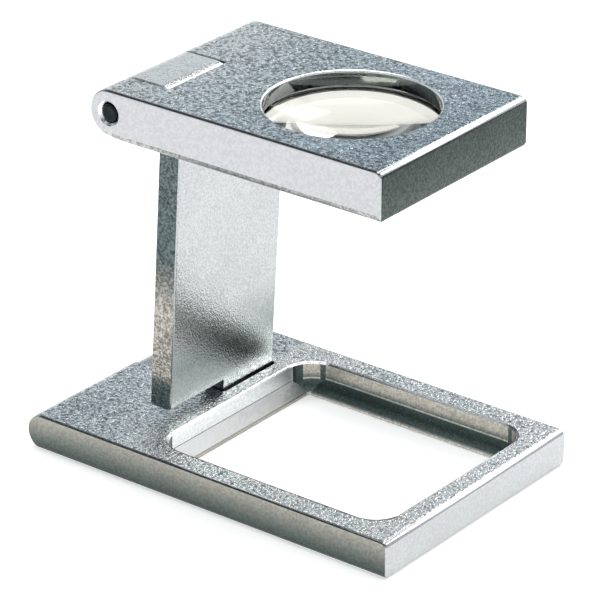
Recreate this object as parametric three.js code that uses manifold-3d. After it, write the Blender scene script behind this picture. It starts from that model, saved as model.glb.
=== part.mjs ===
// Folding thread counter (linen tester): three die-cast plates joined by two hinge pins.
// The base frame stands on the cloth or paper, the upright link carries the lens frame above
// it, and both plates fold behind the link with the lens shut between link and base.
//
// Millimetres, +Z up. The origin is the middle of the base's underside, +X runs along the
// plates from the hinges to the free ends, and +Y runs across them.

import * as THREE from 'three';
import { mergeVertices } from 'three/addons/utils/BufferGeometryUtils.js';
import Module from 'manifold-3d';

const wasm = await Module();
wasm.setup();

// ---------------------------------------------------------------- driving dimensions

// Base frame
const baseLength = 50;
const baseWidth = 33.2;
const baseThickness = 4.35;
const windowEndRim = 2.85;           // from the window to the free end
const windowSideRim = 3.05;          // from the window to each side
const windowHingeLand = 1.85;        // between the link's foot and the window
const windowCornerRadius = 3.4;
const windowDepth = 2.0;             // straight wall below the top face
const ledgeWidth = 0.85;             // bevelled scale ledge, which leaves an inch across the opening
const ledgeLipHeight = 0.32;         // upright lip at the foot of the bevel

// Upright link
const overallHeight = 44.2;          // top of the open lens frame
const linkWidth = 18.4;
const linkThickness = 2.95;
const linkLean = THREE.MathUtils.degToRad(3.4);
const linkCornerRadius = 2.8;        // outer corner where the link turns to its upper knuckle
const linkEdgeRadius = 0.3;
const linkFootGap = 1.15;            // under the half of the link that has no arm
const linkFootEdgeRadius = 0.4;
const nearArmWidth = 9.4;            // the upper knuckle's share of the link's width
const innerFillet = 0.5;

// Lens frame
const lensFrameThickness = 5.7;
const hingeNoseRadius = 2.65;        // round end about the upper pin, level with the top face
const hingeNoseBlend = 3.0;          // from the round end out to the full thickness
const lensDiameter = 21.0;
const lensEdgeThickness = 1.0;
const lensCurveRadius = 43;          // both faces, which gives six times in crown glass
const shoulderWidth = 1.0;           // overlap of the frame's inner shoulder on the lens
const shoulderDepth = 1.8;           // from the top face down to the shoulder
const lensSideRim = 2.35;            // from the lens seat to each side
const lensEndRim = 2.85;             // from the lens seat to the free end
const lensHingeLand = 5.55;          // from the link's notch to the lens seat

// Retaining ring under the lens
const ringWidth = 1.05;
const ringThickness = 0.8;
const ringSlotWidth = 1.2;

// Hinges
const lowerReach = 8.8;              // lower pin axis to the link's back face
const upperReach = 3.32;             // upper pin axis to the link's back face
const lowerPinDiameter = 1.8;
const upperPinDiameter = 2.0;
const pinSocketDepth = 3.0;          // pin's blind end beyond the knuckle
const pinEndInset = 0.1;             // pin's outer end below the plate's side
const nearCheekWidth = 4.3;          // lens frame beside the upper knuckle
const washerThickness = 0.3;
const washerWall = 0.4;              // plate left above and below a washer's recess

// Edges
const plateEdgeRadius = 0.35;        // round both side faces of a plate
const windowEdgeRadius = 0.18;
const endTopRadius = 0.8;
const endBottomRadius = 0.55;
const baseSideBottomRadius = 0.8;
const lensSideBottomRadius = 0.85;
const boreEdgeRadius = 0.25;
const pinEndChamfer = 0.2;
const pinBoreChamfer = 0.3;          // at the mouth of a pin's bore in the plate's side

// Clearances
const turnGap = 0.25;                // beside a knuckle and around its bore
const seatGap = 0.3;                 // between the link's front face and a plate's notch
const pinGap = 0.15;                 // around a pin in its cheeks
const lensGap = 0.2;                 // around and beside the lens, ring and washers
const groundGap = 0.2;               // under the link's lower arm

// Cutters
const overrun = 1;                   // how far a cutter runs past the faces it cuts
const reach = 200;                   // longer than any piece, for a cutter that runs right through

// ---------------------------------------------------------------- derived places

const baseLeft = -baseLength / 2;
const lowerPin = new THREE.Vector2(baseLeft + baseThickness / 2, baseThickness / 2);

// X of a plane parallel to the link's faces, a distance in front of the lower pin, at height z
function facePlane(distance, z) {
  return lowerPin.x + distance / Math.cos(linkLean) + (z - lowerPin.y) * Math.tan(linkLean);
}

const linkBack = lowerReach;
const linkFront = lowerReach + linkThickness;
const lensFrameBottom = overallHeight - lensFrameThickness;
const upperPinHeight = overallHeight - hingeNoseRadius;
const upperPin = new THREE.Vector2(facePlane(linkBack - upperReach, upperPinHeight), upperPinHeight);

const seatDiameter = lensDiameter + 2 * lensGap;
const boreDiameter = lensDiameter - 2 * shoulderWidth;
const lensFrameLeft = upperPin.x - hingeNoseRadius;
const lensSeatLeft = facePlane(linkFront, lensFrameBottom) + seatGap + lensHingeLand;
const lensAxisX = lensSeatLeft + seatDiameter / 2;
const lensFrameRight = lensSeatLeft + seatDiameter + lensEndRim;
const lensFrameWidth = seatDiameter + 2 * lensSideRim;

const linkNear = -lensFrameWidth / 2 + nearCheekWidth + turnGap;
const linkFar = linkNear + linkWidth;
const armSplit = linkNear + nearArmWidth;

// ---------------------------------------------------------------- helpers

// Points on an arc, angles in degrees, counter-clockwise when endAngle is the larger
function arcPoints(centreX, centreY, radius, startAngle, endAngle, steps) {
  const points = [];
  for (let i = 0; i <= steps; i += 1) {
    const angle = THREE.MathUtils.degToRad(startAngle + (endAngle - startAngle) * i / steps);
    const x = centreX + radius * Math.cos(angle);
    const y = centreY + radius * Math.sin(angle);
    points.push(new THREE.Vector2(x, y));
  }
  return points;
}

// Rectangle with its own radius at each corner, in the order low-left, low-right, high-right, high-left
function roundedBox(left, bottom, right, top, radii, steps = 5) {
  const corners = [
    [left, bottom, 1, 1, 180],
    [right, bottom, -1, 1, 270],
    [right, top, -1, -1, 0],
    [left, top, 1, -1, 90],
  ];
  const points = [];
  corners.forEach(([x, y, inX, inY, startAngle], i) => {
    const radius = radii[i];
    if (radius === 0) {
      points.push(new THREE.Vector2(x, y));
      return;
    }
    const endAngle = startAngle + 90;
    points.push(...arcPoints(x + inX * radius, y + inY * radius, radius, startAngle, endAngle, steps));
  });
  return points;
}

// A closed three.js geometry as a solid that can be cut and joined
function solid(geometry) {
  const bare = geometry.clone();
  bare.deleteAttribute('normal');
  bare.deleteAttribute('uv');
  const merged = mergeVertices(bare, 1e-5);
  const mesh = new wasm.Mesh({
    numProp: 3,
    vertProperties: new Float32Array(merged.attributes.position.array),
    triVerts: new Uint32Array(merged.index.array),
  });
  return new wasm.Manifold(mesh);
}

// An outline in X and Z, run along +Y from nearY to farY, its two ends edged with a rounding
function alongY(outline, nearY, farY, edge = 0) {
  const options = {
    depth: farY - nearY - 2 * edge,
    bevelEnabled: edge > 0,
    bevelThickness: edge,
    bevelSize: edge,
    bevelOffset: -edge,
    bevelSegments: 3,
  };
  const geometry = new THREE.ExtrudeGeometry(new THREE.Shape(outline), options);
  geometry.rotateX(Math.PI / 2);
  geometry.translate(0, farY - edge, 0);
  return solid(geometry);
}

// An outline in Y and Z, run along +X from leftX to rightX
function alongX(outline, leftX, rightX) {
  const options = { depth: rightX - leftX, bevelEnabled: false };
  const geometry = new THREE.ExtrudeGeometry(new THREE.Shape(outline), options);
  geometry.rotateX(Math.PI / 2);
  geometry.rotateZ(Math.PI / 2);
  geometry.translate(leftX, 0, 0);
  return solid(geometry);
}

// An outline in X and Y, run upwards from lowZ to highZ
function alongZ(outline, lowZ, highZ) {
  const options = { depth: highZ - lowZ, bevelEnabled: false };
  const geometry = new THREE.ExtrudeGeometry(new THREE.Shape(outline), options);
  geometry.translate(0, 0, lowZ);
  return solid(geometry);
}

// A profile of [radius, distance] pairs turned about a line through (x, z) along +Y
function turnedAlongY(profile, x, z, segments) {
  const points = profile.map(([radius, distance]) => new THREE.Vector2(radius, distance));
  const geometry = new THREE.LatheGeometry(points, segments);
  geometry.translate(x, 0, z);
  return solid(geometry);
}

// A profile of [radius, height] pairs turned about the lens axis
function turnedAboutLens(profile, segments) {
  const points = profile.map(([radius, height]) => new THREE.Vector2(radius, height));
  const geometry = new THREE.LatheGeometry(points, segments);
  geometry.rotateX(Math.PI / 2);
  geometry.translate(lensAxisX, 0, 0);
  return solid(geometry);
}

function boreAlongY(pin, diameter, nearY, farY) {
  const radius = diameter / 2;
  return turnedAlongY([[0, nearY], [radius, nearY], [radius, farY], [0, farY]], pin.x, pin.y, 40);
}

// A pin's blind bore from a plate's side at mouthY, its mouth chamfered, to its end at blindY
function pinBore(pin, diameter, mouthY, blindY) {
  const outward = Math.sign(mouthY - blindY);
  const radius = diameter / 2;
  const profile = [
    [0, blindY],
    [radius, blindY],
    [radius, mouthY - outward * pinBoreChamfer],
    [radius + pinBoreChamfer, mouthY],
    [radius + pinBoreChamfer, mouthY + outward * overrun],
    [0, mouthY + outward * overrun],
  ];
  return turnedAlongY(outward > 0 ? profile : profile.reverse(), pin.x, pin.y, 40);
}

function namedMesh(name, body, material) {
  const { vertProperties, triVerts } = body.getMesh();
  const geometry = new THREE.BufferGeometry();
  geometry.setAttribute('position', new THREE.BufferAttribute(vertProperties, 3));
  geometry.setIndex(new THREE.BufferAttribute(triVerts, 1));
  geometry.computeVertexNormals();
  const mesh = new THREE.Mesh(geometry, material);
  mesh.name = name;
  return mesh;
}

// ---------------------------------------------------------------- materials

function satinChrome(color) {
  return new THREE.MeshStandardMaterial({ color, roughness: 0.42, metalness: 0.9 });
}

function steel(color) {
  return new THREE.MeshStandardMaterial({ color, roughness: 0.35, metalness: 1 });
}

const glass = new THREE.MeshStandardMaterial({
  color: 0xd5dde0,
  roughness: 0.02,
  metalness: 0,
  transparent: true,
  opacity: 0.35,
});

// ---------------------------------------------------------------- base frame

// Round end about the pin, level with the top face, and softened corners at the free end
function plateSideOutline(pin, noseRadius, noseBlend, right, bottom, top) {
  return [
    ...arcPoints(pin.x, pin.y, noseRadius, 90, 270, 20),
    new THREE.Vector2(pin.x + noseBlend, bottom),
    ...arcPoints(right - endBottomRadius, bottom + endBottomRadius, endBottomRadius, 270, 360, 5),
    ...arcPoints(right - endTopRadius, top - endTopRadius, endTopRadius, 0, 90, 7),
  ];
}

// A plate with its outer edges rounded: its side outline run across, and its lower long edges
// rounded by a second outline run along it
function plateBlank(sideOutline, left, right, bottom, top, width, sideBottomRadius) {
  const half = width / 2;
  const endRadii = [sideBottomRadius, sideBottomRadius, 0, 0];
  const side = alongY(sideOutline, -half, half, plateEdgeRadius);
  const endOutline = roundedBox(-half, bottom, half, top + overrun, endRadii);
  return side.intersect(alongX(endOutline, left - overrun, right + overrun));
}

const windowLeft = facePlane(linkFront, baseThickness) + seatGap + windowHingeLand;
const windowRight = baseLength / 2 - windowEndRim;
const windowHalfWidth = baseWidth / 2 - windowSideRim;

// Straight-walled window with round corners, its top edge eased
function windowWalls(floorZ) {
  const outline = (grow) => roundedBox(
    windowLeft - grow,
    -windowHalfWidth - grow,
    windowRight + grow,
    windowHalfWidth + grow,
    Array(4).fill(windowCornerRadius + grow),
    8,
  );
  let walls = alongZ(outline(0), floorZ, baseThickness + overrun);
  const easing = 3;
  for (let i = 1; i <= easing; i += 1) {
    const angle = (Math.PI / 2) * i / easing;
    const grow = windowEdgeRadius * (1 - Math.cos(angle));
    const depth = windowEdgeRadius * (1 - Math.sin(angle - Math.PI / (2 * easing)));
    walls = walls.add(alongZ(outline(grow), baseThickness - depth, baseThickness + overrun));
  }
  return walls;
}

// Opening with square corners, its four sides bevelled up to the window's walls
function scaleOpening() {
  const bevelTop = baseThickness - windowDepth;
  const flare = (low, high) => [
    new THREE.Vector2(low + ledgeWidth, -overrun),
    new THREE.Vector2(high - ledgeWidth, -overrun),
    new THREE.Vector2(high - ledgeWidth, ledgeLipHeight),
    new THREE.Vector2(high, bevelTop),
    new THREE.Vector2(low, bevelTop),
    new THREE.Vector2(low + ledgeWidth, ledgeLipHeight),
  ];
  const alongLength = alongY(flare(windowLeft, windowRight), -baseWidth, baseWidth);
  const alongWidth = alongX(flare(-windowHalfWidth, windowHalfWidth), -baseLength, baseLength);
  return alongLength.intersect(alongWidth).intersect(windowWalls(-overrun));
}

// Notch for the link's lower arm, open at the hinge end
function baseNotch() {
  const end = facePlane(linkFront, baseThickness) + seatGap;
  const radii = [0, innerFillet, innerFillet, 0];
  const outline = roundedBox(baseLeft - overrun, armSplit - turnGap, end, linkFar + turnGap, radii);
  return alongZ(outline, -overrun, baseThickness + overrun);
}

const lowerWasherDiameter = baseThickness - 2 * washerWall - 2 * lensGap;
const upperWasherDiameter = 2 * hingeNoseRadius - 2 * washerWall - 2 * lensGap;
const washerRecess = washerThickness + 2 * lensGap;

// The washer lies between the knuckle and the cheek, sunk in the cheek on the pin's blind side
const lowerWasherY = armSplit - lensGap - washerThickness;
const upperWasherY = armSplit + lensGap;

function baseFrame() {
  const right = baseLength / 2;
  const side = plateSideOutline(lowerPin, baseThickness / 2, 0, right, 0, baseThickness);
  const blank = plateBlank(side, baseLeft, right, 0, baseThickness, baseWidth, baseSideBottomRadius);
  const blindEnd = armSplit - pinSocketDepth - lensGap;
  const bore = pinBore(lowerPin, lowerPinDiameter + 2 * pinGap, baseWidth / 2, blindEnd);
  const recess = boreAlongY(lowerPin, lowerWasherDiameter + 2 * lensGap, armSplit - washerRecess, armSplit);
  const body = blank
    .subtract(windowWalls(baseThickness - windowDepth))
    .subtract(scaleOpening())
    .subtract(baseNotch())
    .subtract(bore)
    .subtract(recess);
  return namedMesh('base_frame', body, satinChrome(0x9aa3a8));
}

// ---------------------------------------------------------------- upright link

const footHeight = baseThickness + linkFootGap;
const lowerKnuckleRadius = baseThickness / 2 - groundGap;

// The link seen from the side: lower knuckle, lower arm, plate, outer corner, upper arm and knuckle
function linkOutline() {
  const leanDegrees = THREE.MathUtils.radToDeg(linkLean);
  const lowerArmBottom = lowerPin.y - lowerKnuckleRadius;
  const lowerArmTop = lowerPin.y + lowerKnuckleRadius;
  const upperArmBottom = upperPin.y - hingeNoseRadius;
  const cornerHeight = overallHeight - linkCornerRadius;
  const cornerX = facePlane(linkFront - linkCornerRadius, cornerHeight);
  const frontFoot = facePlane(linkFront, lowerArmBottom);
  const backAtLowerArm = facePlane(linkBack, lowerArmTop);
  const backAtUpperArm = facePlane(linkBack, upperArmBottom);
  const lowerFilletZ = lowerArmTop + innerFillet;
  const upperFilletZ = upperArmBottom - innerFillet;
  return [
    ...arcPoints(lowerPin.x, lowerPin.y, lowerKnuckleRadius, 90, 270, 20),
    ...arcPoints(frontFoot - innerFillet, lowerArmBottom + innerFillet, innerFillet, 270, 360, 4),
    ...arcPoints(cornerX, cornerHeight, linkCornerRadius, -leanDegrees, 90, 14),
    ...arcPoints(upperPin.x, upperPin.y, hingeNoseRadius, 90, 270, 20),
    ...arcPoints(backAtUpperArm - innerFillet, upperFilletZ, innerFillet, 90, 0, 4),
    ...arcPoints(backAtLowerArm - innerFillet, lowerFilletZ, innerFillet, 0, -90, 4),
  ];
}

// What is missing above the plate on the far side of the upper arm
function aboveFarHalf() {
  const top = lensFrameBottom - seatGap;
  const outline = [
    new THREE.Vector2(-baseLength, top),
    new THREE.Vector2(baseLength, top),
    new THREE.Vector2(baseLength, overallHeight + overrun),
    new THREE.Vector2(-baseLength, overallHeight + overrun),
  ];
  return alongY(outline, armSplit, linkFar + overrun);
}

// What is missing below the plate on the near side of the lower arm, rounding the foot it leaves
function belowNearHalf() {
  const radius = linkFootEdgeRadius;
  const arcHeight = footHeight + radius;
  const back = facePlane(linkBack, arcHeight);
  const front = facePlane(linkFront, arcHeight);
  const outline = [
    new THREE.Vector2(-baseLength, -overrun),
    new THREE.Vector2(baseLength, -overrun),
    new THREE.Vector2(baseLength, arcHeight),
    new THREE.Vector2(front + overrun, arcHeight),
    ...arcPoints(front - radius, arcHeight, radius, 0, -90, 5),
    ...arcPoints(back + radius, arcHeight, radius, -90, -180, 5),
    new THREE.Vector2(back - overrun, arcHeight),
    new THREE.Vector2(-baseLength, arcHeight),
  ];
  return alongY(outline, linkNear - overrun, armSplit);
}

function uprightLink() {
  const upperBoreDiameter = upperPinDiameter + 2 * turnGap;
  const lowerBoreDiameter = lowerPinDiameter + 2 * turnGap;
  const upperBore = boreAlongY(upperPin, upperBoreDiameter, linkNear - overrun, armSplit + overrun);
  const lowerBore = boreAlongY(lowerPin, lowerBoreDiameter, armSplit - overrun, linkFar + overrun);
  const body = alongY(linkOutline(), linkNear, linkFar, linkEdgeRadius)
    .subtract(aboveFarHalf())
    .subtract(belowNearHalf())
    .subtract(upperBore)
    .subtract(lowerBore);
  return namedMesh('upright_link', body, satinChrome(0xb4b8ba));
}

// ---------------------------------------------------------------- lens frame

const shoulderHeight = overallHeight - shoulderDepth;

// Notch for the upper knuckle, its end wall following the link's outer corner
function lensFrameNotch() {
  const cornerHeight = overallHeight - linkCornerRadius;
  const cornerX = facePlane(linkFront - linkCornerRadius, cornerHeight);
  const leanDegrees = THREE.MathUtils.radToDeg(linkLean);
  const wallRadius = linkCornerRadius + seatGap;
  const lipAngle = THREE.MathUtils.radToDeg(Math.asin(linkCornerRadius / wallRadius));
  const lipX = cornerX + wallRadius * Math.cos(THREE.MathUtils.degToRad(lipAngle));
  const below = lensFrameBottom - overrun;
  const outline = [
    new THREE.Vector2(lensFrameLeft - overrun, below),
    new THREE.Vector2(facePlane(linkFront + seatGap, below), below),
    ...arcPoints(cornerX, cornerHeight, wallRadius, -leanDegrees, lipAngle, 12),
    new THREE.Vector2(lipX, overallHeight + overrun),
    new THREE.Vector2(lensFrameLeft - overrun, overallHeight + overrun),
  ];
  return alongY(outline, linkNear - turnGap, armSplit + turnGap);
}

function lensBore() {
  const radius = boreDiameter / 2;
  const seatRadius = seatDiameter / 2;
  const easedRadius = radius + boreEdgeRadius;
  const eased = arcPoints(easedRadius, overallHeight - boreEdgeRadius, boreEdgeRadius, 180, 90, 5);
  const profile = [
    [0, lensFrameBottom - overrun],
    [seatRadius, lensFrameBottom - overrun],
    [seatRadius, shoulderHeight],
    [radius, shoulderHeight],
    ...eased.map((point) => [point.x, point.y]),
    [easedRadius, overallHeight + overrun],
    [0, overallHeight + overrun],
  ];
  return turnedAboutLens(profile, 96);
}

function lensFrame() {
  const side = plateSideOutline(
    upperPin,
    hingeNoseRadius,
    hingeNoseBlend,
    lensFrameRight,
    lensFrameBottom,
    overallHeight,
  );
  const blank = plateBlank(
    side,
    lensFrameLeft,
    lensFrameRight,
    lensFrameBottom,
    overallHeight,
    lensFrameWidth,
    lensSideBottomRadius,
  );
  const blindEnd = armSplit + pinSocketDepth + lensGap;
  const bore = pinBore(upperPin, upperPinDiameter + 2 * pinGap, -lensFrameWidth / 2, blindEnd);
  const recess = boreAlongY(upperPin, upperWasherDiameter + 2 * lensGap, armSplit, armSplit + washerRecess);
  const body = blank.subtract(lensFrameNotch()).subtract(lensBore()).subtract(bore).subtract(recess);
  return namedMesh('lens_frame', body, satinChrome(0x8c979d));
}

// ---------------------------------------------------------------- lens and retaining ring

function sag(radius) {
  return lensCurveRadius - Math.sqrt(lensCurveRadius ** 2 - radius ** 2);
}

const lensRadius = lensDiameter / 2;
const lensSag = sag(lensRadius);

// The domed face bears on the shoulder's inner edge, so the lens's own edge lies lower
const lensEdgeTop = shoulderHeight - lensGap - (lensSag - sag(boreDiameter / 2));
const lensEdgeBottom = lensEdgeTop - lensEdgeThickness;
const ringInnerRadius = lensRadius - ringWidth;
const ringTop = lensEdgeBottom - (lensSag - sag(ringInnerRadius)) - lensGap;

function domeProfile(edgeHeight, direction) {
  const rings = 9;
  const points = [];
  for (let i = 0; i <= rings; i += 1) {
    const radius = lensRadius * i / rings;
    points.push([radius, edgeHeight + direction * (lensSag - sag(radius))]);
  }
  return points;
}

function magnifierLens() {
  const lower = domeProfile(lensEdgeBottom, -1);
  const upper = domeProfile(lensEdgeTop, 1).reverse();
  return namedMesh('magnifier_lens', turnedAboutLens([...lower, ...upper], 72), glass);
}

// Screwed ring with two slots for a pin spanner
function retainingRing() {
  const outer = lensRadius;
  const bottom = ringTop - ringThickness;
  const profile = [
    [ringInnerRadius, bottom],
    [outer, bottom],
    [outer, ringTop],
    [ringInnerRadius, ringTop],
    [ringInnerRadius, bottom],
  ];
  const slotDepth = ringThickness / 2;
  const slot = new THREE.BoxGeometry(reach, ringSlotWidth, 2 * slotDepth);
  slot.translate(lensAxisX, 0, bottom);
  const body = turnedAboutLens(profile, 72).subtract(solid(slot));
  return namedMesh('lens_retaining_ring', body, steel(0x3a4042));
}

// ---------------------------------------------------------------- hinge pins and washers

// A plain pin along Y with both ends chamfered
function hingePin(name, pin, diameter, nearY, farY) {
  const radius = diameter / 2;
  const profile = [
    [0, nearY],
    [radius - pinEndChamfer, nearY],
    [radius, nearY + pinEndChamfer],
    [radius, farY - pinEndChamfer],
    [radius - pinEndChamfer, farY],
    [0, farY],
  ];
  return namedMesh(name, turnedAlongY(profile, pin.x, pin.y, 32), steel(0x2a3234));
}

// A flat friction washer on the pin
function frictionWasher(name, pin, outerDiameter, pinDiameter, nearY) {
  const outer = outerDiameter / 2;
  const inner = pinDiameter / 2 + pinGap;
  const profile = [
    [inner, nearY],
    [outer, nearY],
    [outer, nearY + washerThickness],
    [inner, nearY + washerThickness],
    [inner, nearY],
  ];
  return namedMesh(name, turnedAlongY(profile, pin.x, pin.y, 32), steel(0x8a8f92));
}

// ---------------------------------------------------------------- assembly

const group = new THREE.Group();
group.add(baseFrame());
group.add(uprightLink());
group.add(lensFrame());
group.add(magnifierLens());
group.add(retainingRing());
group.add(hingePin(
  'lower_hinge_pin',
  lowerPin,
  lowerPinDiameter,
  armSplit - pinSocketDepth,
  baseWidth / 2 - pinEndInset,
));
group.add(hingePin(
  'upper_hinge_pin',
  upperPin,
  upperPinDiameter,
  -lensFrameWidth / 2 + pinEndInset,
  armSplit + pinSocketDepth,
));
group.add(frictionWasher(
  'lower_friction_washer',
  lowerPin,
  lowerWasherDiameter,
  lowerPinDiameter,
  lowerWasherY,
));
group.add(frictionWasher(
  'upper_friction_washer',
  upperPin,
  upperWasherDiameter,
  upperPinDiameter,
  upperWasherY,
));

export default group;
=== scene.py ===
"""A folding thread counter: three satin-chromed die-cast plates on two hinge pins.

The base frame with its counting window stands on the cloth, the upright link leans over it, and
the lens frame holds a six-times glass lens above the window. Metres throughout, +Z up.
"""

import math

import bmesh
import bpy
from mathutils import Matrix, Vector


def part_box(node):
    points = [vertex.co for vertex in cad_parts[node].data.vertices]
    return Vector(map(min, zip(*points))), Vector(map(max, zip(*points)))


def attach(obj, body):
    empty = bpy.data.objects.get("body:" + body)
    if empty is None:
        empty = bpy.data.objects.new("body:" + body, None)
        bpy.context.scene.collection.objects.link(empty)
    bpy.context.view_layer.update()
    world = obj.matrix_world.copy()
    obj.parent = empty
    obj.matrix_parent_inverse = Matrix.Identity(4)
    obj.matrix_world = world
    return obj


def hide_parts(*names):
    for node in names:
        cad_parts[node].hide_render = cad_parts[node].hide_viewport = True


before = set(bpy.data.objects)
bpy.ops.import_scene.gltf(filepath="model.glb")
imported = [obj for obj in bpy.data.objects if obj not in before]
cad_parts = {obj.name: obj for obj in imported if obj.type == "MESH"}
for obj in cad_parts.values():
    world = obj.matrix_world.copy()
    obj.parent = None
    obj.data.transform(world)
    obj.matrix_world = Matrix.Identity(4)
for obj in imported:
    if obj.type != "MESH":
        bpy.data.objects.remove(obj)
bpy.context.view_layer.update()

MM = 0.001


# ------------------------------------------------------------------ studio
# A long-lens camera looks down on the near right corner. A pale floor, a large softbox overhead
# and one low behind on the right light the plates, and the room is brighter low down than above.

def linear(hex_colour):
    """An sRGB hex colour as linear red, green, blue and alpha."""
    channels = [int(hex_colour[i:i + 2], 16) / 255 for i in (1, 3, 5)]
    return [c / 12.92 if c <= 0.04045 else ((c + 0.055) / 1.055) ** 2.4 for c in channels] + [1.0]


def add_node(tree, kind, links=None, **settings):
    """A node with its settings, and its inputs as values or as links from other sockets."""
    node = tree.nodes.new(kind)
    for key, value in settings.items():
        setattr(node, key, value)
    for key, value in (links or {}).items():
        if isinstance(value, bpy.types.NodeSocket):
            tree.links.new(value, node.inputs[key])
        else:
            node.inputs[key].default_value = value
    return node


def set_stops(ramp, stops):
    """Gives a new colour ramp these (position, hex colour) stops, in order."""
    ends = (ramp.elements[0], stops[0]), (ramp.elements[1], stops[-1])
    for element, (position, hex_colour) in ends:
        element.position = position
        element.color = linear(hex_colour)
    for position, hex_colour in stops[1:-1]:
        ramp.elements.new(position).color = linear(hex_colour)


def aimed(thing, place, target):
    """Puts a camera or light at a place, looking at a target."""
    thing.location = place
    thing.rotation_euler = (Vector(target) - Vector(place)).to_track_quat("-Z", "Y").to_euler()
    bpy.context.scene.collection.objects.link(thing)
    return thing


view_azimuth = math.radians(37.86)
view_elevation = math.radians(25.27)
view_distance = 0.412
view_target = Vector((0.0011, -0.0005, 0.0196))
view_back = Vector((
    math.sin(view_azimuth) * math.cos(view_elevation),
    -math.cos(view_azimuth) * math.cos(view_elevation),
    math.sin(view_elevation),
))
film_width_mm = 36
lens_length_mm = 226.9
nearest_seen = 0.01
camera_data = bpy.data.cameras.new("studio_camera")
camera_data.sensor_width = film_width_mm
camera_data.lens = lens_length_mm
camera_data.clip_start = nearest_seen
camera = aimed(
    bpy.data.objects.new("studio_camera", camera_data),
    view_target + view_distance * view_back,
    view_target,
)
bpy.context.scene.camera = camera
bpy.context.scene.view_settings.view_transform = "Standard"


object_middle = (0, 0, 0.02)


def softbox(name, width, height, radiance, place, colour):
    """A rectangular area light, as bright to look at as its radiance says, facing the object."""
    data = bpy.data.lights.new(name, "AREA")
    data.shape = "RECTANGLE"
    data.size = width
    data.size_y = height
    data.energy = radiance * math.pi * width * height
    data.color = linear(colour)[:3]
    return aimed(bpy.data.objects.new(name, data), place, object_middle)


softbox(
    "overhead_softbox", width=1.0, height=1.0, radiance=2.8, place=(-0.05, 0.05, 1.0),
    colour="#FFFFFF",
)
softbox(
    "far_right_softbox", width=1.0, height=0.5, radiance=3.7, place=(0.22, 0.72, 0.60),
    colour="#FFFDF8",
)

room = bpy.data.worlds.new("studio_room")
bpy.context.scene.world = room
room.use_nodes = True
room.node_tree.nodes.clear()
room_direction = add_node(room.node_tree, "ShaderNodeTexCoord").outputs["Generated"]
room_height = add_node(
    room.node_tree, "ShaderNodeSeparateXYZ", {"Vector": room_direction}
).outputs["Z"]
room_ramp = add_node(room.node_tree, "ShaderNodeValToRGB", {"Fac": room_height})
set_stops(room_ramp.color_ramp, [
    (0.0, "#E6EBEE"), (0.2, "#E2E8EB"), (0.44, "#CFD8DD"), (0.6, "#3C4347"), (1.0, "#1B1F21"),
])
room_light = add_node(
    room.node_tree, "ShaderNodeBackground", {"Color": room_ramp.outputs["Color"], "Strength": 1.0}
)
add_node(room.node_tree, "ShaderNodeOutputWorld", {"Surface": room_light.outputs["Background"]})

# Pure white to the eye, with only a faint shadow where the base stands on it
floor_material = bpy.data.materials.new("lit white acrylic sheet")
floor_material.use_nodes = True
floor_shader = floor_material.node_tree.nodes["Principled BSDF"]
floor_shader.inputs["Base Color"].default_value = linear("#F6F6F5")
floor_shader.inputs["Roughness"].default_value = 0.9
floor_shader.inputs["Emission Color"].default_value = linear("#FFFFFF")
floor_shader.inputs["Emission Strength"].default_value = 0.45
floor_half = 2.5
floor_mesh = bpy.data.meshes.new("floor")
floor_mesh.from_pydata(
    [(x * floor_half, y * floor_half, 0) for x, y in ((-1, -1), (1, -1), (1, 1), (-1, 1))],
    [],
    [(0, 1, 2, 3)],
)
floor_mesh.materials.append(floor_material)
floor = bpy.data.objects.new("floor", floor_mesh)
bpy.context.scene.collection.objects.link(floor)


# ------------------------------------------------------------------ base frame
# A flat zinc die-casting with a counting window through it and a notch at its round hinge end.
# It is blasted and then chromed, so its top is satin with a fine sparkle and its sides smoother.

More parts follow.
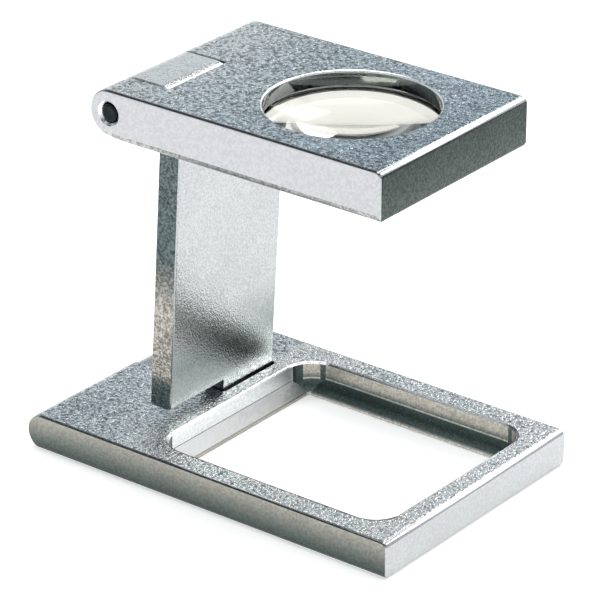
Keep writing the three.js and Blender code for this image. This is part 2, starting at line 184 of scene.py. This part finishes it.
def chrome(name, axis, tones, contrast, grain, depth, roughness, fleck=0.0):
    """Satin chrome on zinc. Tones are (millimetres, hex colour) stops along the X or Z axis; in
    most finishes they hold painted light and shade.

    Contrast is how dark and how light a grain goes, grain is its size and depth how deep it
    bites. Fleck is the share of hard-edged crystals in it, and broad faint clouds lie over it.
    Blasting grit is about 0.1 mm. It is drawn at up to 0.4 mm, or it wouldn't show at all."""
    pit_edges = (0.41, 0.59)
    crystal_size = 0.9 * grain
    cloud_size = 7 * MM
    cloud_edges = (0.3, 0.7)
    cloud_strength = 0.1
    gloss_spread = 0.06
    brightest = 0.97
    material = bpy.data.materials.new(name)
    material.use_nodes = True
    tree = material.node_tree
    shader = tree.nodes["Principled BSDF"]
    shader.inputs["Metallic"].default_value = 1.0
    place = add_node(tree, "ShaderNodeTexCoord").outputs["Object"]
    pits = add_node(tree, "ShaderNodeTexNoise", {
        "Vector": place, "Scale": 1 / grain, "Detail": 2.0, "Roughness": 0.6,
    }).outputs["Fac"]
    crystals = add_node(tree, "ShaderNodeTexVoronoi", {
        "Vector": place, "Scale": 1 / crystal_size,
    }).outputs["Color"]
    crystal = add_node(tree, "ShaderNodeSeparateColor", {"Color": crystals}).outputs["Red"]
    pit_tone = add_node(tree, "ShaderNodeMapRange", {
        "Value": pits, "From Min": pit_edges[0], "From Max": pit_edges[1],
    }).outputs["Result"]
    flecked = add_node(tree, "ShaderNodeMix", {
        "Factor": fleck, "A": pit_tone, "B": crystal,
    }).outputs["Result"]
    clouds = add_node(tree, "ShaderNodeTexNoise", {
        "Vector": place, "Scale": 1 / cloud_size, "Detail": 2.0,
    }).outputs["Fac"]
    cloud_tone = add_node(tree, "ShaderNodeMapRange", {
        "Value": clouds, "From Min": cloud_edges[0], "From Max": cloud_edges[1],
        "To Min": -cloud_strength, "To Max": cloud_strength,
    }).outputs["Result"]
    tone = add_node(
        tree, "ShaderNodeMath", {0: flecked, 1: cloud_tone}, operation="ADD", use_clamp=True
    ).outputs["Value"]
    shade = add_node(tree, "ShaderNodeMapRange", {
        "Value": tone, "To Min": contrast[0], "To Max": contrast[1],
    }).outputs["Result"]
    distance = add_node(tree, "ShaderNodeSeparateXYZ", {"Vector": place}).outputs[axis]
    start, end = tones[0][0] * MM, tones[-1][0] * MM
    along = add_node(tree, "ShaderNodeMapRange", {
        "Value": distance, "From Min": start, "From Max": end,
    }).outputs["Result"]
    ramp = add_node(tree, "ShaderNodeValToRGB", {"Fac": along})
    set_stops(ramp.color_ramp, [
        ((where * MM - start) / (end - start), hex_colour) for where, hex_colour in tones
    ])
    shaded = add_node(
        tree, "ShaderNodeVectorMath", {0: ramp.outputs["Color"], "Scale": shade}, operation="SCALE"
    ).outputs["Vector"]
    colour = add_node(
        tree, "ShaderNodeVectorMath", {0: shaded, 1: (brightest,) * 3}, operation="MINIMUM"
    ).outputs["Vector"]
    tree.links.new(colour, shader.inputs["Base Color"])
    gloss = add_node(tree, "ShaderNodeMapRange", {
        "Value": tone, "To Min": roughness + gloss_spread, "To Max": roughness - gloss_spread,
    }).outputs["Result"]
    tree.links.new(gloss, shader.inputs["Roughness"])
    relief = add_node(tree, "ShaderNodeBump", {
        "Height": pits, "Distance": depth, "Strength": 1.0,
    }).outputs["Normal"]
    tree.links.new(relief, shader.inputs["Normal"])
    return material


def casting(node, name, finish_of, finishes, edge=0.07 * MM):
    """The fine mesh of a casting or the ring: the fixed shape with its sharp edges broken.

    finish_of picks one of the finishes for a face from its middle and its normal."""
    weld_distance = 0.0005 * MM
    sharp_edge = math.radians(50)     # leaves a 45-degree chamfer as it is
    shape = bmesh.new()
    shape.from_mesh(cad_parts[node].data)
    bmesh.ops.remove_doubles(shape, verts=shape.verts, dist=weld_distance)
    mesh = bpy.data.meshes.new(name)
    shape.to_mesh(mesh)
    shape.free()
    mesh.materials.clear()
    piece = bpy.data.objects.new(name, mesh)
    bpy.context.scene.collection.objects.link(piece)
    broken_edges = piece.modifiers.new("broken_edges", "BEVEL")
    broken_edges.width = edge
    broken_edges.segments = 2
    broken_edges.limit_method = "ANGLE"
    broken_edges.angle_limit = sharp_edge
    broken_edges.use_clamp_overlap = False
    broken_edges.miter_outer = "MITER_ARC"
    piece = plain_mesh(piece)
    for material in finishes:
        piece.data.materials.append(material)
    for face in piece.data.polygons:
        face.material_index = finishes.index(finish_of(face.center, face.normal))
    settle_normals(piece.data, degrees=20, least_flat=0.4 * MM, widest_sliver=0.006 * MM)
    return piece


def plain_mesh(piece):
    """The piece with its modifiers' result as its mesh, and no modifiers."""
    evaluated = piece.evaluated_get(bpy.context.evaluated_depsgraph_get())
    mesh = bpy.data.meshes.new_from_object(evaluated)
    piece.modifiers.clear()
    piece.data = mesh
    mesh.name = piece.name
    return piece


def settle_normals(mesh, degrees, least_flat, widest_sliver):
    """Shades roundings as smooth and leaves flats flat.

    A patch is all the faces that lie in one plane, and its breadth is its area over its outline.
    From least_flat on it counts as a flat, and where a rounding meets a flat, the flat's normal
    wins. A sliver below widest_sliver takes the normals round it, whatever way it faces."""
    shape = bmesh.new()
    shape.from_mesh(mesh)
    patch_of = {}
    patches = []
    for face in sorted(shape.faces, key=lambda face: -face.calc_area()):
        if face.index not in patch_of:
            breadth = patch_breadth(face, len(patches), patch_of)
            flat, sliver = breadth > least_flat, breadth < widest_sliver
            patches.append((face.normal.copy(), flat, sliver))
    widest_turn = math.cos(math.radians(degrees))
    normals = []
    for face in shape.faces:
        own_normal, own_flat, own_sliver = patches[patch_of[face.index]]
        least_cosine = -1 if own_sliver else widest_turn
        for vert in face.verts:
            near = [patches[number] for number in {patch_of[f.index] for f in vert.link_faces}]
            near = [patch for patch in near if patch[0].dot(own_normal) > least_cosine]
            flats = [patch for patch in near if patch[1]]
            total = sum((patch[0] for patch in flats or near), Vector())
            keeps_own = own_flat or total.length == 0
            normals.append(own_normal if keeps_own else total.normalized())
    shape.free()
    mesh.polygons.foreach_set("use_smooth", [True] * len(mesh.polygons))
    mesh.normals_split_custom_set(normals)


def patch_breadth(face, number, patch_of):
    """Gives the patch round a face its number, and works out its area over its outline."""
    one_plane = math.radians(0.3)
    shortest_outline = 1e-9
    patch_of[face.index] = number
    members = [face]
    for member in members:
        for other in [near for vert in member.verts for near in vert.link_faces]:
            turn = face.normal.angle(other.normal, math.pi)
            if other.index not in patch_of and turn < one_plane:
                patch_of[other.index] = number
                members.append(other)
    outline = sum(
        edge.calc_length()
        for member in members
        for edge in member.edges
        if any(patch_of.get(near.index) != number for near in edge.link_faces)
    )
    return sum(member.calc_area() for member in members) / max(outline, shortest_outline)


def smooth(piece, degrees):
    """Smooth shading across every edge that turns by less than the angle."""
    piece.data.polygons.foreach_set("use_smooth", [True] * len(piece.data.polygons))
    piece.data.set_sharp_from_angle(angle=math.radians(degrees))


# Light grey with a coarse sparkle; a painted highlight makes it whitest at the window's hinge end
# and at the free end
base_top_chrome = chrome(
    "coarse blasted satin chrome on zinc", "X",
    [
        (-25, "#C9D2D7"), (-12.5, "#CFD7DC"), (-10.6, "#F6F8FA"), (-5, "#F6F8FA"),
        (1, "#D6DEE2"), (25, "#F1F5F8"),
    ],
    contrast=(0.22, 1.9), grain=0.40 * MM, depth=0.15 * MM, roughness=0.25, fleck=0.4,
)
# Smooth and warm grey, with painted shade that darkens it toward the foot
base_side_chrome = chrome(
    "satin chrome on zinc with painted shade toward the foot", "Z",
    [(0, "#3F4947"), (1.5, "#626A66"), (4.35, "#9F9D95")],
    contrast=(0.88, 1.1), grain=0.3 * MM, depth=0.012 * MM, roughness=0.24,
)
# Even silver grey with a soft gloss
plain_chrome = chrome(
    "plain satin chrome on zinc", "Z", [(0, "#B9BCBD"), (45, "#B9BABD")],
    contrast=(0.94, 1.05), grain=0.3 * MM, depth=0.008 * MM, roughness=0.20,
)
# The same silver grey, with a thin painted shadow line where it meets the table
free_end_chrome = chrome(
    "satin chrome on zinc with a painted contact shadow", "Z",
    [(0, "#3E4644"), (0.2, "#4A524F"), (0.35, "#B9BCBD"), (4.35, "#B9BABD")],
    contrast=(0.94, 1.05), grain=0.3 * MM, depth=0.008 * MM, roughness=0.20,
)
# A painted highlight makes it near white, with painted shade as dark lines at the crease above the
# ledge and at the ledge's foot
window_end_chrome = chrome(
    "bright satin chrome on zinc", "Z",
    [
        (0, "#4E5856"), (0.1, "#5E6764"), (0.15, "#B5B2AA"), (0.5, "#C3C0B8"), (0.56, "#FFFFFF"),
        (2.26, "#FFFFFF"), (2.31, "#4A5558"), (2.4, "#E4E8EA"), (4.35, "#F4F6F8"),
    ],
    contrast=(0.92, 1.06), grain=0.3 * MM, depth=0.02 * MM, roughness=0.42,
)
# Painted shade: dark grey-green bands where the window's walls turn a corner
window_corner_shade_chrome = chrome(
    "satin chrome on zinc with painted dark corner bands", "Z", [(0, "#5A6562"), (2.3, "#3E4A48"), (4.35, "#5C6764")],
    contrast=(0.8, 1.15), grain=0.28 * MM, depth=0.03 * MM, roughness=0.30, fleck=0.2,
)
# Painted white highlights along the roundings
edge_highlight_chrome = chrome(
    "satin chrome on zinc painted white as a highlight", "Z", [(0, "#FFFFFF"), (45, "#FFFFFF")],
    contrast=(0.95, 1.04), grain=0.3 * MM, depth=0.01 * MM, roughness=0.30,
)
# Beige grey above the crease, painted shade in dark grey-green on the ledge, and a painted
# highlight as a light line between them
window_side_chrome = chrome(
    "tarnished satin chrome on zinc", "Z",
    [
        (0, "#C9C7BF"), (0.32, "#C9C7BF"), (0.6, "#5E6966"), (1.4, "#384441"), (2.2, "#4E5A57"),
        (2.33, "#D2D0C9"), (2.45, "#5A6562"), (3.1, "#A8A49B"), (4.35, "#BDB9B0"),
    ],
    contrast=(0.8, 1.15), grain=0.28 * MM, depth=0.03 * MM, roughness=0.30, fleck=0.2,
)
level_z = 0.97                        # a face is level from this Z normal on
near_top = 4 * MM                     # above this, a face belongs to the top or to its edge
window_start, window_end = -9.2 * MM, 22.5 * MM
window_half_width = 14 * MM
free_end_start = 24 * MM
side_start = 15.5 * MM


def window_finish(middle, normal):
    """Painted highlights on the end walls and edges, painted shade on the side walls' ledges, and
    painted dark bands where a corner begins.
    """
    first_band, second_band = (0.12, 0.6), (0.93, 0.985)
    across = abs(normal.y)
    slopes_up = normal.z > 0.1
    faces_right = normal.x > 0.1
    if slopes_up and middle.z > near_top:
        return edge_highlight_chrome if faces_right else plain_chrome
    if first_band[0] < across < first_band[1] or second_band[0] < across < second_band[1]:
        return window_corner_shade_chrome
    return window_end_chrome if across <= first_band[0] else window_side_chrome


def base_finish(middle, normal):
    """The top, the window, the free end and the sides each have a finish of their own."""
    in_window = window_start < middle.x < window_end and abs(middle.y) < window_half_width
    faces_free_end = normal.x > 0.5
    faces_side = abs(normal.y) > 0.55 and normal.z < 0.5
    faces_down = normal.z <= -0.2
    if normal.z > level_z and middle.z > near_top:
        return base_top_chrome
    if in_window and not faces_down:
        return window_finish(middle, normal)
    if faces_free_end and middle.x > free_end_start:
        return free_end_chrome
    if faces_side and abs(middle.y) > side_start:
        return base_side_chrome
    return plain_chrome


base_frame = casting(
    "base_frame",
    "base_frame_casting",
    base_finish,
    [
        base_top_chrome, base_side_chrome, plain_chrome, window_end_chrome, window_side_chrome,
        window_corner_shade_chrome, edge_highlight_chrome, free_end_chrome,
    ],
)
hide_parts("base_frame")
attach(base_frame, "base")


# ------------------------------------------------------------------ upright link
# A thin zinc die-casting. Its upper arm turns over into the lens frame's notch and its lower arm
# runs down into the base's. It is blasted all over and chromed.

# Light and silky, with painted shade as a dark patch low down and a painted highlight at the foot
link_chrome = chrome(
    "fine satin chrome on zinc", "Z",
    [
        (0, "#E9EBEC"), (3, "#D4D6D7"), (6, "#A1A8A8"), (10, "#8B9393"), (15.5, "#B2B5B6"),
        (45, "#B4B6B8"),
    ],
    contrast=(0.84, 1.12), grain=0.24 * MM, depth=0.035 * MM, roughness=0.15, fleck=0.25,
)
# Dark and sparkling from painted shade, with a beige band part way up where no shade is painted
link_side_chrome = chrome(
    "blasted satin chrome on zinc with painted shade", "Z",
    [
        (0, "#566060"), (8.5, "#566060"), (9.5, "#9B978F"), (17, "#98958E"), (24, "#4C5759"),
        (44, "#5E6869"),
    ],
    contrast=(0.42, 1.7), grain=0.30 * MM, depth=0.12 * MM, roughness=0.26, fleck=0.4,
)
# Paler than the plate it lies in, as a painted highlight, with a fine grain
link_top_chrome = chrome(
    "fine blasted chrome on zinc with a painted highlight", "X", [(-17, "#F4F6F8"), (-8, "#E6EAEC")],
    contrast=(0.7, 1.9), grain=0.30 * MM, depth=0.08 * MM, roughness=0.28, fleck=0.4,
)
knuckle_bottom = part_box("upright_link")[1].z - 2.4 * MM


def link_finish(middle, normal):
    """The sides, the knuckle's top and its rounded corner differ from the broad faces."""
    faces_side = abs(normal.y) > 0.8
    faces_up = normal.z > 0.15
    if faces_side:
        return link_side_chrome
    if faces_up and middle.z > knuckle_bottom:
        # the knuckle's top and its rounded corner take painted highlights
        return link_top_chrome if normal.z > level_z else edge_highlight_chrome
    return link_chrome


link = casting(
    "upright_link",
    "upright_link_casting",
    link_finish,
    [link_chrome, link_side_chrome, link_top_chrome, edge_highlight_chrome],
)
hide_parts("upright_link")
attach(link, "link")


# ------------------------------------------------------------------ lens frame
# The thickest zinc die-casting, blasted on top and at its free end and smooth along its sides.
# The bore above the lens is turned and plated bright.

lens_low, lens_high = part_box("magnifier_lens")
lens_middle = (lens_low + lens_high) / 2
lens_radius = (lens_high.x - lens_low.x) / 2
# Sparkling like the base's top, but finer, and bluer and darker toward the free end as a painted
# reflection
lens_frame_top_chrome = chrome(
    "fine blasted satin chrome on zinc", "X",
    [(-17, "#E4EAED"), (-4, "#BFCAD1"), (21, "#98A7B1")],
    contrast=(0.18, 1.9), grain=0.37 * MM, depth=0.14 * MM, roughness=0.23, fleck=0.35,
)
# Mirror bright, with sharp light and dark streaks round the bore
bright_chrome = chrome(
    "bright turned chrome on zinc", "Z", [(38, "#B9BFBD"), (45, "#B9BFBD")],
    contrast=(0.96, 1.03), grain=0.5 * MM, depth=0.002 * MM, roughness=0.10,
)
# Dark grey-green from painted shade, darker toward the top, and dull, with a faint grain
end_chrome = chrome(
    "blasted chrome on zinc painted dark as shade", "Z", [(38.5, "#4B5451"), (44.2, "#323B39")],
    contrast=(0.6, 1.35), grain=0.26 * MM, depth=0.05 * MM, roughness=0.36, fleck=0.4,
)
# Grey and rough, as it comes from the mould, with painted shade that darkens its middle
under_chrome = chrome(
    "rough cast satin chrome on zinc", "X",
    [(-17, "#BFC0BE"), (0, "#7F8584"), (21, "#B4B5B3")],
    contrast=(0.5, 1.25), grain=0.32 * MM, depth=0.09 * MM, roughness=0.36, fleck=0.4,
)
upper_pin_low, upper_pin_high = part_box("upper_hinge_pin")
upper_pin_middle = (upper_pin_low + upper_pin_high) / 2
pin_mouth_radius = (upper_pin_high.x - upper_pin_low.x) / 2 + 0.5 * MM
frame_low, frame_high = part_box("lens_frame")
bore_edge_radius = lens_radius + 0.5 * MM
bore_wall_radius = lens_radius + 0.22 * MM
end_start = frame_high.x - 1 * MM
under_end = frame_low.z + 1.2 * MM


def lens_frame_finish(middle, normal):
    """The bore, its edge, the pin's mouth, the free end, the top and the underside differ."""
    from_axis = math.hypot(middle.x - lens_middle.x, middle.y)
    from_pin = math.hypot(middle.x - upper_pin_middle.x, middle.z - upper_pin_middle.z)
    slopes_up = 0.1 < normal.z < level_z
    slopes_near = 0.2 < -normal.y < 0.95
    stands_upright = normal.z < 0.9
    faces_free_end = normal.x > 0.85
    faces_down = normal.z < -0.15
    # the bore's rounded edge and the chamfer at the pin's mouth get the painted white highlight
    if from_axis < bore_edge_radius and slopes_up:
        return edge_highlight_chrome
    if from_axis < bore_wall_radius and stands_upright:
        return bright_chrome
    if from_pin < pin_mouth_radius and slopes_near:
        return edge_highlight_chrome
    if faces_free_end and middle.x > end_start:
        return end_chrome
    if faces_down and middle.z < under_end:
        return under_chrome
    return lens_frame_top_chrome if normal.z > level_z else plain_chrome


lens_frame = casting(
    "lens_frame",
    "lens_frame_casting",
    lens_frame_finish,
    [lens_frame_top_chrome, plain_chrome, bright_chrome, end_chrome, under_chrome, edge_highlight_chrome],
)
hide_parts("lens_frame")
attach(lens_frame, "lens")


# ------------------------------------------------------------------ magnifier lens
# One double-convex lens of clear crown glass, 21 mm across, ground and polished. Both faces are
# parts of one sphere's curve, so the whole shape follows a rule and a node tree turns it.

lens_tree = bpy.data.node_groups.new("double_convex_lens", "GeometryNodeTree")
for socket_name, kind in (
    ("Centre", "NodeSocketVector"),
    ("Radius", "NodeSocketFloat"),
    ("Face curve radius", "NodeSocketFloat"),
    ("Edge thickness", "NodeSocketFloat"),
    ("Rings on a face", "NodeSocketInt"),
    ("Steps round", "NodeSocketInt"),
    ("Glass", "NodeSocketMaterial"),
):
    lens_tree.interface.new_socket(socket_name, in_out="INPUT", socket_type=kind)
lens_tree.interface.new_socket("Lens", in_out="OUTPUT", socket_type="NodeSocketGeometry")


def calculate(operation, *values):
    """One sum in the lens's tree."""
    links = dict(enumerate(values))
    return add_node(lens_tree, "ShaderNodeMath", links, operation=operation).outputs["Value"]


given = add_node(lens_tree, "NodeGroupInput").outputs
profile_points = calculate("MULTIPLY_ADD", given["Rings on a face"], 2.0, 2.0)
round_points = calculate("ADD", given["Steps round"], 1.0)
sheet_of_points = add_node(lens_tree, "GeometryNodeMeshGrid", {
    "Size X": 2.0, "Size Y": 1.0, "Vertices X": profile_points, "Vertices Y": round_points,
})
grid_place = add_node(lens_tree, "ShaderNodeSeparateXYZ", {
    "Vector": add_node(lens_tree, "GeometryNodeInputPosition").outputs["Position"],
})
along_profile = grid_place.outputs["X"]
angle = calculate("MULTIPLY", grid_place.outputs["Y"], -2 * math.pi)
edge_share = calculate("DIVIDE", 1.0, calculate("MULTIPLY_ADD", given["Rings on a face"], 2.0, 1.0))
inward = calculate("SUBTRACT", 1.0, calculate("ABSOLUTE", along_profile))
radius = calculate(
    "MULTIPLY", given["Radius"], calculate("DIVIDE", inward, calculate("SUBTRACT", 1.0, edge_share))
)
curve_squared = calculate("MULTIPLY", given["Face curve radius"], given["Face curve radius"])


def height_on_sphere(at_radius):
    """How high a face's sphere stands above its own middle plane at a radius."""
    radius_squared = calculate("MULTIPLY", at_radius, at_radius)
    return calculate("SQRT", calculate("SUBTRACT", curve_squared, radius_squared))


dome = calculate("SUBTRACT", height_on_sphere(radius), height_on_sphere(given["Radius"]))
half_edge = calculate("MULTIPLY", given["Edge thickness"], 0.5)
height = calculate(
    "MULTIPLY", calculate("SIGN", along_profile), calculate("ADD", dome, half_edge)
)
turned_place = add_node(lens_tree, "ShaderNodeCombineXYZ", {
    "X": calculate("MULTIPLY", radius, calculate("COSINE", angle)),
    "Y": calculate("MULTIPLY", radius, calculate("SINE", angle)),
    "Z": height,
}).outputs["Vector"]
final_place = add_node(
    lens_tree, "ShaderNodeVectorMath", {0: turned_place, 1: given["Centre"]}, operation="ADD"
).outputs["Vector"]
turned_lens = add_node(lens_tree, "GeometryNodeSetPosition", {
    "Geometry": sheet_of_points.outputs["Mesh"], "Position": final_place,
})
merge_distance = 0.001 * MM
closed_lens = add_node(lens_tree, "GeometryNodeMergeByDistance", {
    "Geometry": turned_lens.outputs["Geometry"], "Distance": merge_distance,
})
whole_lens = add_node(lens_tree, "GeometryNodeRealizeInstances", {
    "Geometry": closed_lens.outputs["Geometry"],
})
glazed_lens = add_node(lens_tree, "GeometryNodeSetMaterial", {
    "Geometry": whole_lens.outputs["Geometry"], "Material": given["Glass"],
})
add_node(lens_tree, "NodeGroupOutput", {"Lens": glazed_lens.outputs["Geometry"]})

# Crown glass: clear and very slightly warm, with a sharp reflection of the room on each face
smear_size = 4 * MM
dullest_smear = 0.03
crown_glass = bpy.data.materials.new("polished crown glass")
crown_glass.use_nodes = True
glass_shader = crown_glass.node_tree.nodes["Principled BSDF"]
glass_shader.inputs["Base Color"].default_value = linear("#D3D0C9")
glass_shader.inputs["Transmission Weight"].default_value = 1.0
glass_shader.inputs["IOR"].default_value = 1.523
glass_place = add_node(crown_glass.node_tree, "ShaderNodeTexCoord").outputs["Object"]
glass_smears = add_node(crown_glass.node_tree, "ShaderNodeTexNoise", {
    "Vector": glass_place, "Scale": 1 / smear_size, "Detail": 2.0,
}).outputs["Fac"]
glass_gloss = add_node(crown_glass.node_tree, "ShaderNodeMapRange", {
    "Value": glass_smears, "To Min": 0.0, "To Max": dullest_smear,
}).outputs["Result"]
crown_glass.node_tree.links.new(glass_gloss, glass_shader.inputs["Roughness"])

lens = bpy.data.objects.new("magnifier_lens_glass", bpy.data.meshes.new("magnifier_lens_glass"))
bpy.context.scene.collection.objects.link(lens)
lens_modifier = lens.modifiers.new("double_convex_lens", "NODES")
lens_modifier.node_group = lens_tree
lens_curve_radius = 43 * MM
lens_sag = lens_curve_radius - math.sqrt(lens_curve_radius ** 2 - lens_radius ** 2)
lens_sizes = {
    "Centre": lens_middle,
    "Radius": lens_radius,
    "Face curve radius": lens_curve_radius,
    "Edge thickness": lens_high.z - lens_low.z - 2 * lens_sag,
    "Rings on a face": 24,
    "Steps round": 128,
    "Glass": crown_glass,
}
for item in lens_tree.interface.items_tree:
    if item.in_out == "INPUT":
        lens_modifier[item.identifier] = lens_sizes[item.name]
plain_mesh(lens)
smooth(lens, 40)
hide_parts("magnifier_lens")
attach(lens, "lens")


# ------------------------------------------------------------------ lens retaining ring
# A turned aluminium ring with two slots for a pin spanner, screwed up under the lens. It is
# anodised black, so no light comes back into the glass from it.

def marked_metal(name, light, dark, grain, roughness):
    """Turned or tumbled metal with its fine tool marks, between a light and a dark colour."""
    gloss_spread = 0.1
    mark_depth = 0.01 * MM
    material = bpy.data.materials.new(name)
    material.use_nodes = True
    tree = material.node_tree
    shader = tree.nodes["Principled BSDF"]
    shader.inputs["Metallic"].default_value = 1.0
    place = add_node(tree, "ShaderNodeTexCoord").outputs["Object"]
    marks = add_node(tree, "ShaderNodeTexNoise", {
        "Vector": place, "Scale": 1 / grain, "Detail": 3.0,
    }).outputs["Fac"]
    colour = add_node(tree, "ShaderNodeMix", data_type="RGBA")
    tree.links.new(marks, colour.inputs["Factor"])
    colour.inputs["A"].default_value = linear(dark)
    colour.inputs["B"].default_value = linear(light)
    tree.links.new(colour.outputs["Result"], shader.inputs["Base Color"])
    gloss = add_node(tree, "ShaderNodeMapRange", {
        "Value": marks, "To Min": roughness - gloss_spread, "To Max": roughness + gloss_spread,
    }).outputs["Result"]
    tree.links.new(gloss, shader.inputs["Roughness"])
    relief = add_node(tree, "ShaderNodeBump", {
        "Height": marks, "Distance": mark_depth, "Strength": 1.0,
    }).outputs["Normal"]
    tree.links.new(relief, shader.inputs["Normal"])
    return material


# Soft black, dull enough to stay dark beside the glass
black_anodised = marked_metal(
    "black anodised aluminium", light="#3C4042", dark="#26292B", grain=0.3 * MM, roughness=0.45
)
ring = casting(
    "lens_retaining_ring",
    "lens_retaining_ring_turned",
    lambda middle, normal: black_anodised,
    [black_anodised],
    edge=0.04 * MM,
)
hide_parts("lens_retaining_ring")
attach(ring, "lens")


# ------------------------------------------------------------------ hinge pins
# Two plain steel pins, turned and blued dark. Each is pressed into its plate's cheeks from one
# side, and the upright's knuckle turns on it.

def turned_along_y(name, profile, axis, material, steps=64):
    """A closed profile of radius and distance pairs, turned about a line along Y."""
    shape = bmesh.new()
    rings = []
    for radius_here, distance in profile:
        if radius_here == 0:
            rings.append([shape.verts.new((axis.x, distance, axis.z))])
            continue
        rings.append([
            shape.verts.new((
                axis.x + radius_here * math.cos(2 * math.pi * step / steps),
                distance,
                axis.z + radius_here * math.sin(2 * math.pi * step / steps),
            ))
            for step in range(steps)
        ])
    for first, second in zip(rings, rings[1:]):
        for step in range(steps):
            after = (step + 1) % steps
            corners = [first[step % len(first)], first[after % len(first)]]
            corners += [second[after % len(second)], second[step % len(second)]]
            shape.faces.new(list(dict.fromkeys(corners)))
    bmesh.ops.recalc_face_normals(shape, faces=shape.faces)
    mesh = bpy.data.meshes.new(name)
    shape.to_mesh(mesh)
    shape.free()
    mesh.materials.append(material)
    piece = bpy.data.objects.new(name, mesh)
    bpy.context.scene.collection.objects.link(piece)
    smooth(piece, 35)
    return piece


# Nearly black with a faint blue, and glossier than the ring
blued_steel = marked_metal(
    "blued turned steel", light="#2B3235", dark="#15191B", grain=0.25 * MM, roughness=0.3
)


def hinge_pin(node, body):
    """A pin with a rounded chamfer at both ends and a shallow dish in each end face."""
    low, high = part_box(node)
    outer = (high.x - low.x) / 2
    chamfer = 0.2 * MM
    chamfer_steps = 4
    dish = 0.05 * MM
    dish_floor_radius = 0.45 * outer
    dish_radius = outer - 1.6 * chamfer
    half_profile = [(0, dish), (dish_floor_radius, dish), (dish_radius, 0)]
    for step in range(chamfer_steps + 1):
        turn = math.radians(90 * step / chamfer_steps)
        half_profile.append((
            outer - chamfer + chamfer * math.sin(turn), chamfer - chamfer * math.cos(turn)
        ))
    profile = [(radius_here, low.y + distance) for radius_here, distance in half_profile]
    half_profile.reverse()
    profile += [(radius_here, high.y - distance) for radius_here, distance in half_profile]
    pin = turned_along_y(node + "_turned", profile, (low + high) / 2, blued_steel)
    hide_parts(node)
    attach(pin, body)


hinge_pin("lower_hinge_pin", "base")
hinge_pin("upper_hinge_pin", "lens")


# ------------------------------------------------------------------ friction washers
# Two washers stamped from spring steel and tumbled to take off the burrs. One is squeezed beside
# each knuckle, so the plates stay where they are put.

# Plain mid-grey steel with a soft shine
spring_steel = marked_metal(
    "tumbled spring steel", light="#B9BDBE", dark="#8F9496", grain=0.2 * MM, roughness=0.35
)


def friction_washer(node, pin_node, body):
    """A flat washer with rolled edges, round its pin."""
    low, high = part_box(node)
    pin_low, pin_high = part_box(pin_node)
    outer = (high.x - low.x) / 2
    pin_gap = 0.15 * MM
    inner = (pin_high.x - pin_low.x) / 2 + pin_gap
    roll = 0.08 * MM
    seam_distance = 0.001 * MM
    profile = [
        (inner + roll, low.y),
        (outer - roll, low.y),
        (outer, low.y + roll),
        (outer, high.y - roll),
        (outer - roll, high.y),
        (inner + roll, high.y),
        (inner, high.y - roll),
        (inner, low.y + roll),
        (inner + roll, low.y),
    ]
    washer = turned_along_y(node + "_stamped", profile, (low + high) / 2, spring_steel)
    merged = bmesh.new()
    merged.from_mesh(washer.data)
    bmesh.ops.remove_doubles(merged, verts=merged.verts, dist=seam_distance)
    bmesh.ops.recalc_face_normals(merged, faces=merged.faces)
    merged.to_mesh(washer.data)
    merged.free()
    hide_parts(node)
    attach(washer, body)


friction_washer("lower_friction_washer", "lower_hinge_pin", "base")
friction_washer("upper_friction_washer", "upper_hinge_pin", "lens")
